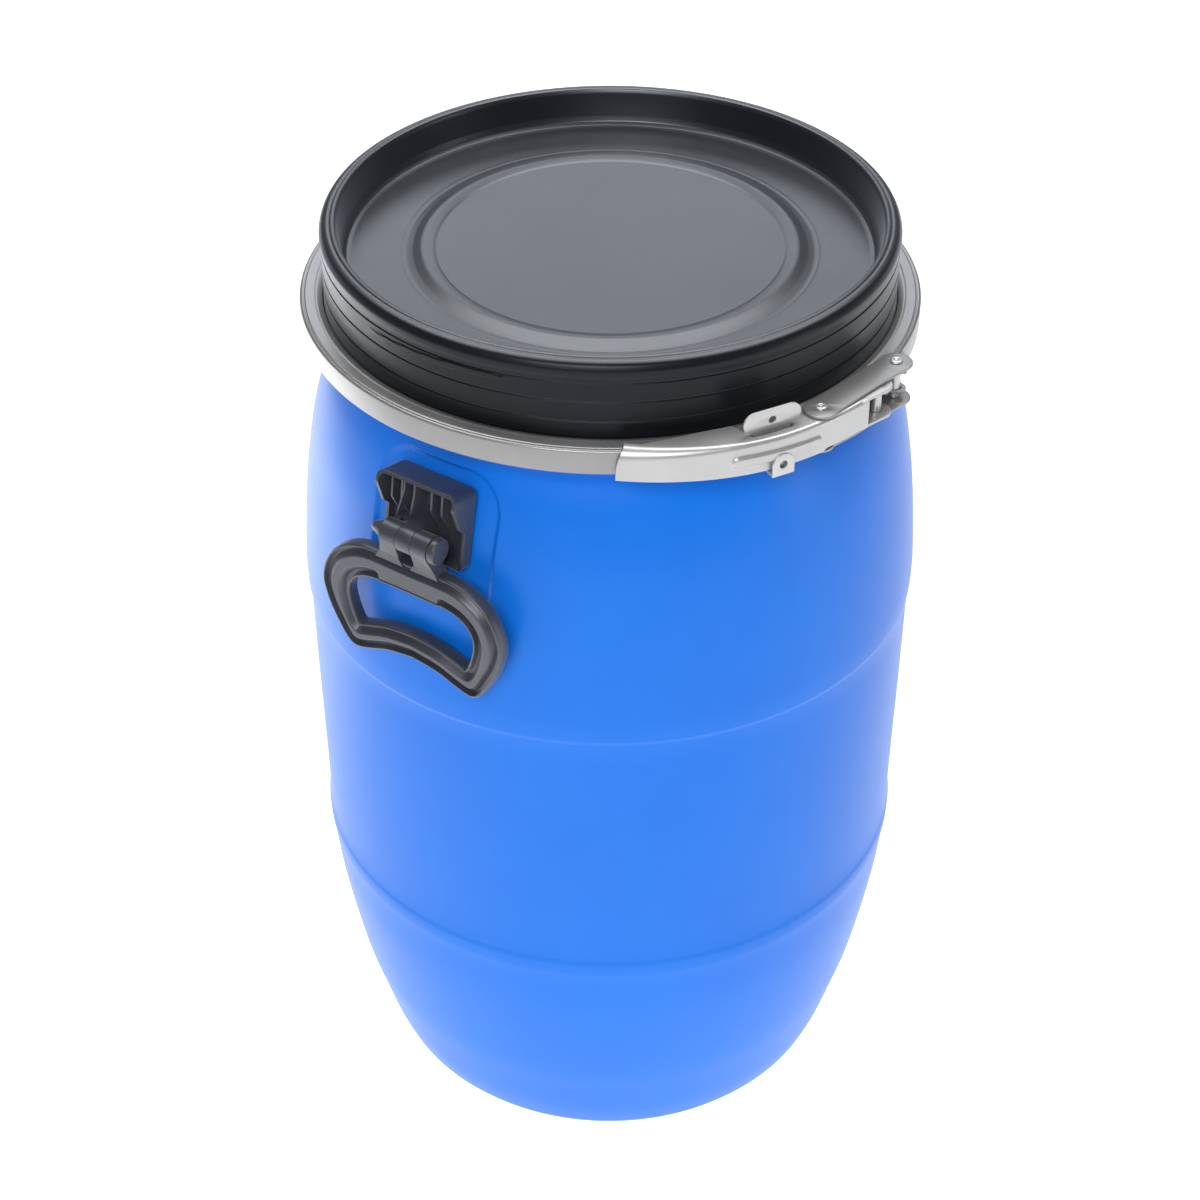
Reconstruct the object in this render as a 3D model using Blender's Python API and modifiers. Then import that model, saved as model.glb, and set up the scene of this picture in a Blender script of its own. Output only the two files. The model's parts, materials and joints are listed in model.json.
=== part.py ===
"""Plastic open head drum of the 60 litre class, with a lever-lock clamp ring.

Metres, +Z up. The origin is the centre of the base, on the face the drum stands on.
Azimuth is in degrees about +Z: 0 is the front (-Y), and it grows towards +X.
"""

import math

import bmesh
import bpy
from mathutils import Matrix, Vector

# ---- driving dimensions -------------------------------------------------------------
GAP = 0.0003  # space between pieces that touch
ROUND = 48  # segments of the large turned pieces
SMALL_ROUND = 16  # segments of pins and rivets

# drum body
WALL = 0.0032
NECK_R = 0.1653
MOUTH_R = 0.1621
MOUTH_Z = 0.5730
MOUTH_BEAD_R = 0.1830
BODY_CREASES = (0.1920, 0.3790)
BASE_FOOT = (0.1300, 0.1460)  # standing ring, inner and outer radius
BASE_PAD_R = 0.0600
BASE_RECESS = 0.0020
FLOOR_Z = 0.0055

# lid
LID_WALL_R = 0.1732
LID_FLANGE = (0.1800, 0.5763, 0.5793)  # radius, underside, top
LID_FLOOR_Z = 0.6060
LID_PANEL_Z = 0.6076
LID_TOP_Z = 0.6300

# clamp band
BAND_R = 0.1880
BAND_Z = (0.5661, 0.5826)
BAND_STEEL = 0.0012
SPLIT_AZ = 57.5
SPLIT_GAP = 0.0020

# closure, from the fulcrum outwards
STEEL = 0.0018
LEVER_AZ = (2.5, 48.5)
LEVER_Z = (0.5638, 0.5848)
LEVER_INNER_R = 0.1792
LEVER_FACE_R = (0.1908, 0.2010)  # outer radius of the face at the free end and at the fulcrum
RIVET_R, RIVET_AZ = 0.1910, 39.86
FULCRUM_R, FULCRUM_AZ = 0.1946, 53.05
LINK_R, LINK_AZ = 0.1930, 60.17
RIVET_RADIUS = 0.0025
PIN_RADIUS = 0.0032
TAB_AZ = 29.5
TAB_SIZE = (0.0370, 0.0138)
TAB_CENTRE_Z = 0.5920
NOTCH = 3.9  # half angle of the lever's notch for the tab, at its root
NOTCH_MOUTH = (5.7, 4.5)  # the same at its mouth, towards the free end and the fulcrum
LUG_AZ = 30.0
LUG_SIZE = (0.0142, 0.0148)

# handles
HANDLE_AZ = {"left": -33.25, "right": 146.75}
PIN_R, PIN_Z = 0.2005, 0.5055  # hinge pin axis: distance from the drum's axis, height
FLAT_R, FLAT_Z, FLAT_TILT = 0.1774, 0.5126, 11.0  # moulded flat behind each bracket
BRACKET_HALF = 0.0286
KNUCKLE_R = 0.0083
KNUCKLE_SPAN = (0.0056, 0.0170)
HINGE_PIN_R = 0.0040
GRIP_THICK = 0.0100


# ---- helpers ------------------------------------------------------------------------
def clear_scene():
    for obj in list(bpy.data.objects):
        bpy.data.objects.remove(obj, do_unlink=True)


def collection(name):
    made = bpy.data.collections.new(name)
    bpy.context.scene.collection.children.link(made)
    return made


def material(name, colour, roughness, metallic=0.0):
    made = bpy.data.materials.new(name)
    made.use_nodes = True
    shader = made.node_tree.nodes["Principled BSDF"]
    shader.inputs["Base Color"].default_value = (*colour, 1.0)
    shader.inputs["Roughness"].default_value = roughness
    shader.inputs["Metallic"].default_value = metallic
    return made


def polar(radius, azimuth):
    angle = math.radians(azimuth)
    return Vector((radius * math.sin(angle), -radius * math.cos(angle)))


def arc(centre, radius, start, end, steps):
    """Points of an arc about a 2D centre, angles in degrees, both ends included."""
    turns = [math.radians(start + (end - start) * i / steps) for i in range(steps + 1)]
    return [(centre[0] + radius * math.cos(t), centre[1] + radius * math.sin(t)) for t in turns]


def smooth(points, per_span=3):
    """A Catmull-Rom curve through the points."""
    ends = [points[0], *points, points[-1]]
    curve = [points[0]]
    for a, b, c, d in zip(ends, ends[1:], ends[2:], ends[3:]):
        for step in range(1, per_span + 1):
            t = step / per_span
            curve.append(tuple(
                0.5 * (2 * q + (r - p) * t + (2 * p - 5 * q + 4 * r - s) * t * t
                       + (3 * q - p - 3 * r + s) * t ** 3)
                for p, q, r, s in zip(a, b, c, d)
            ))
    return curve


def add(name, mesh, look, group, matrix=None):
    obj = bpy.data.objects.new(name, mesh)
    group.objects.link(obj)
    obj.matrix_world = matrix or Matrix.Identity(4)
    if look:
        mesh.materials.append(look)
        mesh.shade_smooth()
        mesh.set_sharp_from_angle(angle=math.radians(30))
    else:
        obj.hide_render = True
        obj.display_type = "WIRE"
    return obj


def turned(name, profile, look, group, closed=True, matrix=None, steps=ROUND):
    """A turned shape. The profile (radius, height) runs down its outer side, top to bottom."""
    mesh = bpy.data.meshes.new(name)
    edges = [(i, i + 1) for i in range(len(profile) - 1)]
    if closed:
        edges.append((len(profile) - 1, 0))
    mesh.from_pydata([(radius, 0.0, height) for radius, height in profile], edges, [])
    obj = add(name, mesh, look, group, matrix)
    screw = obj.modifiers.new("Turn", "SCREW")
    screw.axis = "Z"
    screw.angle = 2 * math.pi
    screw.steps = screw.render_steps = steps
    screw.use_merge_vertices = True
    screw.merge_threshold = 0.00001
    screw.use_smooth_shade = True
    return obj


def plate(name, outlines, low, high, look, group, matrix=None):
    """A flat outline with holes, extruded from low to high along its own Z."""
    curve = bpy.data.curves.new(name, "CURVE")
    curve.dimensions = "2D"
    curve.fill_mode = "BOTH"
    curve.extrude = (high - low) / 2
    for outline in outlines:
        spline = curve.splines.new("POLY")
        spline.points.add(len(outline) - 1)
        for point, (x, y) in zip(spline.points, outline):
            point.co = (x, y, 0.0, 1.0)
        spline.use_cyclic_u = True
    drawn = bpy.data.objects.new(name, curve)
    bpy.context.scene.collection.objects.link(drawn)
    graph = bpy.context.evaluated_depsgraph_get()
    mesh = bpy.data.meshes.new_from_object(drawn.evaluated_get(graph))
    bpy.data.objects.remove(drawn, do_unlink=True)
    bpy.data.curves.remove(curve)
    shape = bmesh.new()
    shape.from_mesh(mesh)
    bmesh.ops.remove_doubles(shape, verts=shape.verts, dist=0.000005)
    bmesh.ops.translate(shape, verts=shape.verts, vec=(0.0, 0.0, (low + high) / 2))
    bmesh.ops.recalc_face_normals(shape, faces=shape.faces)
    shape.to_mesh(mesh)
    shape.free()
    return add(name, mesh, look, group, matrix)


def box(name, low, high, look, group, matrix=None):
    (x0, y0, z0), (x1, y1, z1) = low, high
    outline = [(x0, y0), (x1, y0), (x1, y1), (x0, y1)]
    return plate(name, [outline], z0, z1, look, group, matrix)


def boolean(obj, kind, *others):
    for other in others:
        step = obj.modifiers.new(f"{kind} {other.name}", "BOOLEAN")
        step.operation = kind
        step.solver = "EXACT"
        step.object = other


def circle(centre, radius, steps=SMALL_ROUND):
    return arc(centre, radius, 0.0, 360.0 - 360.0 / steps, steps - 1)


def along_x(matrix=None):
    """Turns a plate's own X, Y, Z into depth, height and the tangential direction."""
    side = Matrix(((0, 0, 1, 0), (-1, 0, 0, 0), (0, 1, 0, 0), (0, 0, 0, 1)))
    return (matrix or Matrix.Identity(4)) @ side


def facing_out(matrix=None):
    """Turns a plate's own X, Y, Z into tangential, height and depth directions."""
    front = Matrix(((1, 0, 0, 0), (0, 0, -1, 0), (0, 1, 0, 0), (0, 0, 0, 1)))
    return (matrix or Matrix.Identity(4)) @ front


def turn_to(azimuth):
    return Matrix.Rotation(math.radians(azimuth), 4, "Z")


# ---- drum body ----------------------------------------------------------------------
def flat_frame(azimuth):
    """The frame of a moulded flat: X tangential, -Y out of the flat, Z up along it."""
    place = Matrix.Translation((0.0, -FLAT_R, FLAT_Z))
    tilt = Matrix.Rotation(math.radians(-FLAT_TILT), 4, "X")
    return turn_to(azimuth) @ place @ tilt


def barrel_outline():
    """Outer side of the barrel from the neck to the base, as radius and height."""
    low_crease, high_crease = BODY_CREASES
    shoulder = smooth([(NECK_R, 0.5560), (0.1673, 0.5470), (0.1756, 0.5280), (0.1840, 0.5000),
                       (0.1926, 0.4440), (0.1964, 0.3930)], 2)
    middle = [(0.1955, high_crease), (0.1946, high_crease - 0.0060), (0.1942, 0.3400),
              (0.1930, 0.2600), (0.1923, 0.2050), (0.1935, low_crease)]
    lower = smooth([(0.1918, 0.1750), (0.1839, 0.1150), (0.1766, 0.0770), (0.1691, 0.0490),
                    (0.1560, 0.0080)], 2)
    return shoulder + middle + lower


def make_body(parts, cutters, look):
    barrel = barrel_outline()
    inner_foot, outer_foot = BASE_FOOT
    bead = [(0.0, MOUTH_Z), (MOUTH_BEAD_R - 0.0015, MOUTH_Z), (MOUTH_BEAD_R, MOUTH_Z - 0.0015),
            (MOUTH_BEAD_R, MOUTH_Z - 0.0035), (MOUTH_BEAD_R - 0.0015, MOUTH_Z - 0.0047),
            (NECK_R + 0.0017, MOUTH_Z - 0.0060), (NECK_R, MOUTH_Z - 0.0110)]
    base = [(0.1515, 0.0022), (outer_foot, 0.0), (inner_foot, 0.0),
            (inner_foot - 0.0030, BASE_RECESS), (BASE_PAD_R + 0.0030, BASE_RECESS),
            (BASE_PAD_R, 0.0), (0.0, 0.0)]
    body = turned("body_shell", bead + barrel + base, look, parts, closed=False)
    wall = [(radius - WALL, height) for radius, height in barrel[::2] if height > 0.02]
    wall[0] = (MOUTH_R, wall[0][1])
    hollow = [(0.0, 0.60), (MOUTH_R, 0.60)] + wall + [(0.1460, FLOOR_Z + 0.0030),
                                                      (0.1400, FLOOR_Z), (0.0, FLOOR_Z)]
    cavity = turned("cut_cavity", hollow, None, cutters, closed=False)
    for side, azimuth in HANDLE_AZ.items():
        frame = flat_frame(azimuth)
        outer = box(f"cut_flat_{side}", (-0.040, -0.040, -0.030), (0.040, 0.0, 0.034),
                    None, cutters, frame)
        inner = box(f"cut_inner_flat_{side}", (-0.043, -0.043, -0.033), (0.043, WALL, 0.034),
                    None, cutters, frame)
        boolean(body, "DIFFERENCE", outer)
        boolean(cavity, "DIFFERENCE", inner)
    boolean(body, "DIFFERENCE", cavity)


# ---- lid and gasket -----------------------------------------------------------------
def make_lid(parts, look, gasket_look):
    flange_r, flange_low, flange_top = LID_FLANGE
    bead = [(0.1050, LID_PANEL_Z), (0.1085, 0.6100), (0.1135, 0.6112), (0.1185, 0.6098),
            (0.1215, LID_FLOOR_Z)]
    recess = [(0.1580, LID_FLOOR_Z), (0.1615, 0.6085), (0.1632, 0.6230)]
    rim = arc((0.1690, 0.6245), LID_TOP_Z - 0.6245, 165.0, -45.0, 7)
    wall = [(LID_WALL_R - 0.0006, 0.6185), (LID_WALL_R, 0.6010), (LID_WALL_R + 0.0004, flange_top)]
    flange = [(flange_r, flange_top), (flange_r, flange_low), (0.1697, flange_low)]
    underside = [(0.1690, 0.6000), (0.1650, 0.6032), (0.0, LID_PANEL_Z - 0.0030)]
    profile = [(0.0, LID_PANEL_Z)] + bead + recess + rim + wall + flange + underside
    turned("lid", profile, look, parts, closed=False)
    low, high = MOUTH_Z + GAP, flange_low - GAP
    seal = [(0.1700, high), (flange_r - GAP, high), (flange_r - GAP, low), (0.1700, low)]
    turned("lid_gasket", seal, gasket_look, parts)


# ---- clamp band ---------------------------------------------------------------------
def make_band(parts, cutters, look):
    low, high = BAND_Z
    outer = [(0.1742, high - 0.0009), (0.1780, high), (0.1865, high - 0.0008),
             (BAND_R, high - 0.0024), (BAND_R, low + 0.0011), (BAND_R - 0.0008, low),
             (0.1765, low), (0.1765, low + BAND_STEEL)]
    inner = [(BAND_R - 0.0018, low + BAND_STEEL), (BAND_R - BAND_STEEL, low + 0.0020),
             (BAND_R - BAND_STEEL, high - 0.0030), (0.1860, high - 0.0020),
             (0.1780, high - BAND_STEEL), (0.1742, high - 0.0021)]
    for name, side in (("band_left", -1), ("band_right", 1)):
        band = turned(name, outer + inner, look, parts)
        span = [side * 0.25, side * (SPLIT_GAP / 2 if side > 0 else GAP)]
        keep = box(f"keep_{name}", (min(span), -0.25, 0.55), (max(span), 0.25, 0.60),
                   None, cutters, turn_to(SPLIT_AZ))
        boolean(band, "INTERSECT", keep)


# ---- lever closure ------------------------------------------------------------------
def lever_face(azimuth):
    """Outer radius of the lever's face, which leaves the band towards the fulcrum."""
    start, _ = LEVER_AZ
    free, full = LEVER_FACE_R
    share = min(1.0, max(0.0, azimuth - start) / 32.0)
    return free + (full - free) * math.sin(math.pi / 2 * share)


def lever_inner(azimuth):
    """Inner edge of the lever's top flange, which narrows to the free end."""
    start, _ = LEVER_AZ
    share = min(1.0, max(0.0, azimuth - start) / 17.0)
    return LEVER_INNER_R + (LEVER_FACE_R[0] - 0.0019 - LEVER_INNER_R) * (1 - share) ** 1.5


def steps_between(start, end, count):
    return [start + (end - start) * i / count for i in range(count + 1)]


def ear(centre, radius, azimuth):
    """Half circle about a pin, on the side away from the lever's free end."""
    return arc(centre, radius, azimuth - 90.0, azimuth + 90.0, 8)


def lever_outline(inner_edge):
    start, end = LEVER_AZ
    pivot = polar(FULCRUM_R, FULCRUM_AZ)
    face = [polar(lever_face(az), az) for az in steps_between(start, end, 10)]
    return [*map(tuple, face), *ear(pivot, 0.0090, FULCRUM_AZ), *inner_edge]


def make_lever(parts, cutters, look):
    start, end = LEVER_AZ
    low, high = LEVER_Z
    rivet, pivot = polar(RIVET_R, RIVET_AZ), polar(FULCRUM_R, FULCRUM_AZ)
    before, after = TAB_AZ - NOTCH_MOUTH[0], TAB_AZ + NOTCH_MOUTH[1]
    edge = [tuple(polar(lever_inner(az), az)) for az in (end, 42.0, after)]
    edge += [tuple(polar(0.1950, az)) for az in (TAB_AZ + NOTCH, TAB_AZ, TAB_AZ - NOTCH)]
    edge += [tuple(polar(lever_inner(az), az)) for az in (before, 20.0, 14.0, 9.0, start)]
    holes = [circle(rivet, RIVET_RADIUS + GAP), circle(pivot, PIN_RADIUS + GAP)]
    lever = plate("lever", [lever_outline(edge), *holes], low, high, look, parts)
    inside = [tuple(polar(lever_face(az) - STEEL, az)) for az in steps_between(start - 2, end, 12)]
    hollow = inside + [tuple(polar(0.2150, end)), tuple(polar(0.2150, end + 12)),
                       tuple(polar(0.1700, end + 12))]
    hollow += [tuple(polar(0.1700, az)) for az in steps_between(end, start - 2, 6)]
    middle = plate("cut_lever_channel", [hollow], low + STEEL, high - STEEL, None, cutters)
    under = [tuple(polar(0.1840, az)) for az in steps_between(start - 2, end - 4, 8)]
    under += [tuple(polar(0.1700, az)) for az in (end - 4, (start + end) / 2, start - 2)]
    below = plate("cut_lever_underside", [under], low - 0.001, low + 2 * STEEL, None, cutters)
    boolean(lever, "DIFFERENCE", middle, below)


def make_links(parts, look):
    """The two straps, one above and one below the lever, with round ends."""
    rivet, pin = polar(RIVET_R, RIVET_AZ), polar(LINK_R, LINK_AZ)
    along = math.degrees(math.atan2(pin.y - rivet.y, pin.x - rivet.x))
    near = arc(rivet, 0.0103, along + 60.0, along + 300.0, 12)
    far = arc(pin, 0.0098, along - 115.0, along + 115.0, 12)
    middle = (rivet + pin) / 2
    left = (pin - rivet).normalized().orthogonal() * 0.0090
    outline = [*near, tuple(middle - left), *far, tuple(middle + left)]
    low, high = LEVER_Z
    hole = circle(rivet, RIVET_RADIUS + GAP)
    plate("link_top", [outline, hole], high + GAP, high + GAP + STEEL, look, parts)
    plate("link_bottom", [outline, hole], low - GAP - STEEL, low - GAP, look, parts)


def make_pins(parts, look):
    low, high = LEVER_Z
    bottom, top = low - 2 * GAP - STEEL, high + 2 * GAP + STEEL
    at_rivet = Matrix.Translation((*polar(RIVET_R, RIVET_AZ), 0.0))
    at_fulcrum = Matrix.Translation((*polar(FULCRUM_R, FULCRUM_AZ), 0.0))
    at_link = Matrix.Translation((*polar(LINK_R, LINK_AZ), 0.0))
    dome = [(0.0, 0.0016), (0.0022, 0.0014), (0.0042, 0.0004), (0.0042, 0.0)]
    head = [(radius, top + height) for radius, height in dome]
    foot = [(radius, bottom - height) for radius, height in reversed(dome)]
    shaft = [(RIVET_RADIUS, top), (RIVET_RADIUS, bottom)]
    turned("lever_rivet", head + shaft + foot, look, parts, False, at_rivet, SMALL_ROUND)
    turned("link_pin_head", [*head, (0.0, top)], look, parts, False, at_link, SMALL_ROUND)
    turned("link_pin_foot", [(0.0, bottom), *foot], look, parts, False, at_link, SMALL_ROUND)
    for name, place, upper, lower in (
        ("fulcrum_pin", at_fulcrum, high - GAP, low + GAP),
        ("link_pin", at_link, high, low),
    ):
        rod = [(0.0, upper), (PIN_RADIUS, upper), (PIN_RADIUS, lower), (0.0, lower)]
        turned(name, rod, look, parts, False, place, SMALL_ROUND)


def make_bracket(name, azimuths, pin_r, pin_az, ear_r, parts, cutters, look):
    """A U-shaped bracket on the band: a curved back plate and two ears about a pin."""
    first, last = azimuths
    pin = polar(pin_r, pin_az)
    back_r = BAND_R + 0.0004
    back = [tuple(polar(back_r, az)) for az in steps_between(first, last, 4)]
    near_side = ear(pin, ear_r, pin_az)
    outline = back[::-1] + [tuple(polar(back_r + STEEL, first))] + near_side
    outline += [tuple(polar(back_r + STEEL, last))]
    bottom, top = BAND_Z[0] + 0.0012, BAND_Z[1] - 0.0004
    bracket = plate(name, [outline, circle(pin, PIN_RADIUS + GAP)], bottom, top, look, parts)
    gap = [tuple(polar(back_r + STEEL, az)) for az in steps_between(first - 1, last + 1, 4)]
    gap += [tuple(polar(0.2200, last + 1)), tuple(polar(0.2200, first - 1))]
    window = plate(f"cut_{name}", [gap], bottom + 0.0022, top - 0.0022, None, cutters)
    boolean(bracket, "DIFFERENCE", window)


def folded(name, azimuth, side, front, holes, parts, cutters, look):
    """A bent strip: its side profile (depth, height) kept where its front outline is."""
    frame = turn_to(azimuth)
    half = max(x for x, _ in front) + 0.002
    strip = plate(name, [side], -half, half, look, parts, along_x(frame))
    keep = plate(f"keep_{name}", [front, *holes], 0.17, 0.22, None, cutters, facing_out(frame))
    boolean(strip, "INTERSECT", keep)


def make_tab_and_lug(parts, cutters, look):
    thick = 0.0013
    foot, upper = BAND_R + 0.0006, 0.1910
    side = [(foot, 0.5680), (foot + thick, 0.5680), (foot + thick, 0.5772),
            (upper + thick, 0.5800), (upper + thick, 0.6000), (upper, 0.6000),
            (upper, 0.5808), (foot, 0.5780)]
    width, height = TAB_SIZE
    end, radius, neck = width / 2 - height / 2, height / 2, 0.0120
    bottom = TAB_CENTRE_Z - radius
    front = [(-neck, 0.5670), (neck, 0.5670), (neck, bottom)]
    front += arc((end, TAB_CENTRE_Z), radius, -90.0, 90.0, 8)
    front += arc((-end, TAB_CENTRE_Z), radius, 90.0, 270.0, 8) + [(-neck, bottom)]
    holes = [circle((0.0, TAB_CENTRE_Z - 0.0005), 0.0023, 12)]
    folded("seal_tab", TAB_AZ, side, front, holes, parts, cutters, look)

    low, high = 0.5595, LEVER_Z[0] - GAP
    outer, inner, back = 0.2034, 0.2020, 0.1950
    side = [(back, high), (back, low), (outer, low), (outer, 0.5760), (inner, 0.5760),
            (inner, low + thick), (back + thick, low + thick), (back + thick, high)]
    width, height = LUG_SIZE
    front = [(-width / 2, low - 0.001), (width / 2, low - 0.001)]
    front += arc((0.0, low + height - width / 2), width / 2, 0.0, 180.0, 10)
    holes = [circle((0.0, low + height / 2), 0.0025, 12)]
    folded("seal_lug", LUG_AZ, side, front, holes, parts, cutters, look)


# ---- handles ------------------------------------------------------------------------
def mirrored(half):
    """A closed outline from the half at positive X, listed from the top to the bottom."""
    return half + [(-x, y) for x, y in reversed(half) if x > 0]


def grip_outlines():
    """Outer and inner edge of the grip's loop, about the hinge pin's axis."""
    outer = smooth([(0.0, -0.0150), (0.0340, -0.0150), (0.0520, -0.0235), (0.0645, -0.0410),
                    (0.0665, -0.0540), (0.0610, -0.0720), (0.0500, -0.0900)])
    outer += [(0.0450, -0.0935), (0.0390, -0.0935), (0.0220, -0.0875), (0.0, -0.0840)]
    inner = smooth([(0.0, -0.0360), (0.0290, -0.0368), (0.0420, -0.0430), (0.0460, -0.0530),
                    (0.0440, -0.0660)])
    inner += [(0.0395, -0.0745), (0.0240, -0.0692), (0.0, -0.0660)]
    return mirrored(outer), mirrored(inner)


def make_grip(side, azimuth, parts, cutters, look):
    frame = turn_to(azimuth) @ Matrix.Translation((0.0, -PIN_R, PIN_Z))
    near, far = KNUCKLE_SPAN
    half = GRIP_THICK / 2
    outer, inner = grip_outlines()
    grip = plate(f"grip_{side}", [outer, inner], -half, half, look, parts, facing_out(frame))
    grip.matrix_world = frame
    grip.data.transform(facing_out())
    for name, sign in (("inner", -1), ("outer", 1)):
        low, high = sorted((sign * near, sign * far))
        lobe = arc((0.0, 0.0), KNUCKLE_R, -15.0, 195.0, 12) + [(-half, -0.0200), (half, -0.0200)]
        knuckle = plate(f"join_{name}_knuckle_{side}", [lobe], low, high, None, cutters,
                        along_x(frame))
        boolean(grip, "UNION", knuckle)
    bore = plate(f"cut_grip_bore_{side}", [circle((0.0, 0.0), HINGE_PIN_R + GAP)], -0.03, 0.03,
                 None, cutters, along_x(frame))
    boolean(grip, "DIFFERENCE", bore)

    head, shaft, tip = far + GAP, HINGE_PIN_R, -far - GAP
    profile = [(0.0, head + 0.0048), (KNUCKLE_R - 0.0010, head + 0.0048),
               (KNUCKLE_R, head + 0.0036), (KNUCKLE_R, head), (shaft, head), (shaft, tip),
               (shaft + 0.0018, tip), (shaft - 0.0012, tip - 0.0095), (0.0, tip - 0.0095)]
    lying = frame @ Matrix.Rotation(math.pi / 2, 4, "Y")
    turned(f"hinge_pin_{side}", profile, look, parts, closed=False, matrix=lying,
           steps=SMALL_ROUND)


def make_handle_bracket(side, azimuth, parts, cutters, look):
    """A ribbed housing, open at the front, with an arm that ends in the middle knuckle."""
    frame = flat_frame(azimuth)
    skin = 0.0025
    top, bottom, bend, brow = 0.0245, -0.0280, -0.0014, 0.0165
    deep, shallow = 0.0196, 0.0086
    outline = [(GAP, top), (GAP, bottom), (shallow - 0.004, bottom), (shallow, bottom + 0.004),
               (shallow, bend), (shallow + 0.0053, bend + 0.0036), (deep + 0.0020, brow),
               (deep, top - 0.0015), (deep - 0.0015, top)]
    housing = plate(f"handle_bracket_{side}", [outline], -BRACKET_HALF, BRACKET_HALF, look, parts,
                    along_x(frame))
    housing.matrix_world = frame
    housing.data.transform(along_x())
    room = [(skin + GAP, top - skin), (skin + GAP, bottom + skin), (0.03, bottom + skin),
            (0.03, top - skin)]
    reach = BRACKET_HALF - skin
    pocket = plate(f"cut_pocket_{side}", [room], -reach, reach, None, cutters, along_x(frame))
    boolean(housing, "DIFFERENCE", pocket)
    set_back = 0.0040
    rib_edge = [(skin / 2, top - 0.001), (skin / 2, bottom + 0.001),
                (shallow - set_back, bottom + 0.001), (shallow - set_back, bend - 0.003),
                (deep - set_back, brow - 0.003), (deep - set_back, top - 0.001)]
    for number, place in enumerate((-0.0205, -0.0135, 0.0135, 0.0205)):
        rib = plate(f"join_rib_{number}_{side}", [rib_edge], place - 0.0008, place + 0.0008, None,
                    cutters, along_x(frame))
        boolean(housing, "UNION", rib)
    pin = frame.inverted() @ turn_to(azimuth) @ Vector((0.0, -PIN_R, PIN_Z))
    axis = (-pin.y, pin.z)
    half = KNUCKLE_SPAN[0] - GAP
    arm = arc(axis, KNUCKLE_R, -80.0, 100.0, 10) + [(skin / 2, 0.0040), (skin / 2, -0.0215)]
    knuckle = plate(f"join_arm_{side}", [arm], -half, half, None, cutters, along_x(frame))
    bore = plate(f"cut_arm_bore_{side}", [circle(axis, HINGE_PIN_R + GAP)], -0.01, 0.01, None,
                 cutters, along_x(frame))
    boolean(housing, "UNION", knuckle)
    boolean(housing, "DIFFERENCE", bore)


# ---- assembly -----------------------------------------------------------------------
def main():
    clear_scene()
    parts = collection("open_head_drum")
    cutters = collection("cutters")
    blue = material("blue_plastic", (0.02, 0.19, 0.78), 0.35)
    black = material("black_lid_plastic", (0.035, 0.036, 0.042), 0.3)
    charcoal = material("black_handle_plastic", (0.05, 0.052, 0.06), 0.42)
    steel = material("galvanised_steel", (0.62, 0.62, 0.61), 0.3, 1.0)
    bright = material("bright_steel", (0.75, 0.75, 0.76), 0.22, 1.0)
    rubber = material("seal_rubber", (0.03, 0.03, 0.03), 0.8)

    make_body(parts, cutters, blue)
    make_lid(parts, black, rubber)
    make_band(parts, cutters, steel)
    make_lever(parts, cutters, steel)
    make_links(parts, steel)
    make_pins(parts, bright)
    make_bracket("fulcrum_bracket", (49.6, 56.8), FULCRUM_R, FULCRUM_AZ, 0.0072, parts, cutters,
                 steel)
    make_bracket("pull_bracket", (58.4, 66.0), LINK_R, LINK_AZ, 0.0068, parts, cutters, steel)
    make_tab_and_lug(parts, cutters, bright)
    for side, azimuth in HANDLE_AZ.items():
        make_handle_bracket(side, azimuth, parts, cutters, charcoal)
        make_grip(side, azimuth, parts, cutters, charcoal)


main()
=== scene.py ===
"""Looks of the plastic open head drum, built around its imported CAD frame.

Metres, +Z up, the origin at the centre of the base. Azimuth is in degrees about +Z: 0 is the
front (-Y), and it grows towards +X. Turned and swept sections are listed as radius and height.
"""

import json
import math

import bmesh
import bpy
import numpy as np
from mathutils import Matrix, Vector


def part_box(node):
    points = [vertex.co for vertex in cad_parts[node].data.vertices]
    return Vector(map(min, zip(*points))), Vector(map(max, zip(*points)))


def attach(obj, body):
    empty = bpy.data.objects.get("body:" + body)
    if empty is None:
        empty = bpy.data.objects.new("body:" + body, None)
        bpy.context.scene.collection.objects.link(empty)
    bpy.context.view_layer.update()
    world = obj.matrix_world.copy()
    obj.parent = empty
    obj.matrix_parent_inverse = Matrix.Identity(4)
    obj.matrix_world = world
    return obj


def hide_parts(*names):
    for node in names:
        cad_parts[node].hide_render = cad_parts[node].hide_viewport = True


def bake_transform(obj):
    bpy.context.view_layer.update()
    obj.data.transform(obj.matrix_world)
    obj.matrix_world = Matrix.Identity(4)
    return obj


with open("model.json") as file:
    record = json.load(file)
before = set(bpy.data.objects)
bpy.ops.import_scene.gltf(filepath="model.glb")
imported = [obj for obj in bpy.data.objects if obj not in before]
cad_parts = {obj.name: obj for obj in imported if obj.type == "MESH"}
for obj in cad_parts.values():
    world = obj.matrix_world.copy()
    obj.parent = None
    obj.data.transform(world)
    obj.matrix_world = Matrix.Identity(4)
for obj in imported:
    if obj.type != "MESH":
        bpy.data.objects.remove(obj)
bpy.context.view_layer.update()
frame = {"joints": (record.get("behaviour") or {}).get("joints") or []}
JOINTS = {joint["name"]: joint for joint in frame["joints"]}

GAP = 0.0003  # space between pieces that touch
MM = 0.001


# ---- places taken from the frame ------------------------------------------------------
def joint_place(name):
    return Vector(JOINTS[name]["pos_m"])


def polar_place(point):
    """Radius and azimuth of a point."""
    return math.hypot(point.x, point.y), math.degrees(math.atan2(point.x, -point.y))


def middle_of(node):
    low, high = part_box(node)
    return (low + high) / 2


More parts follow.
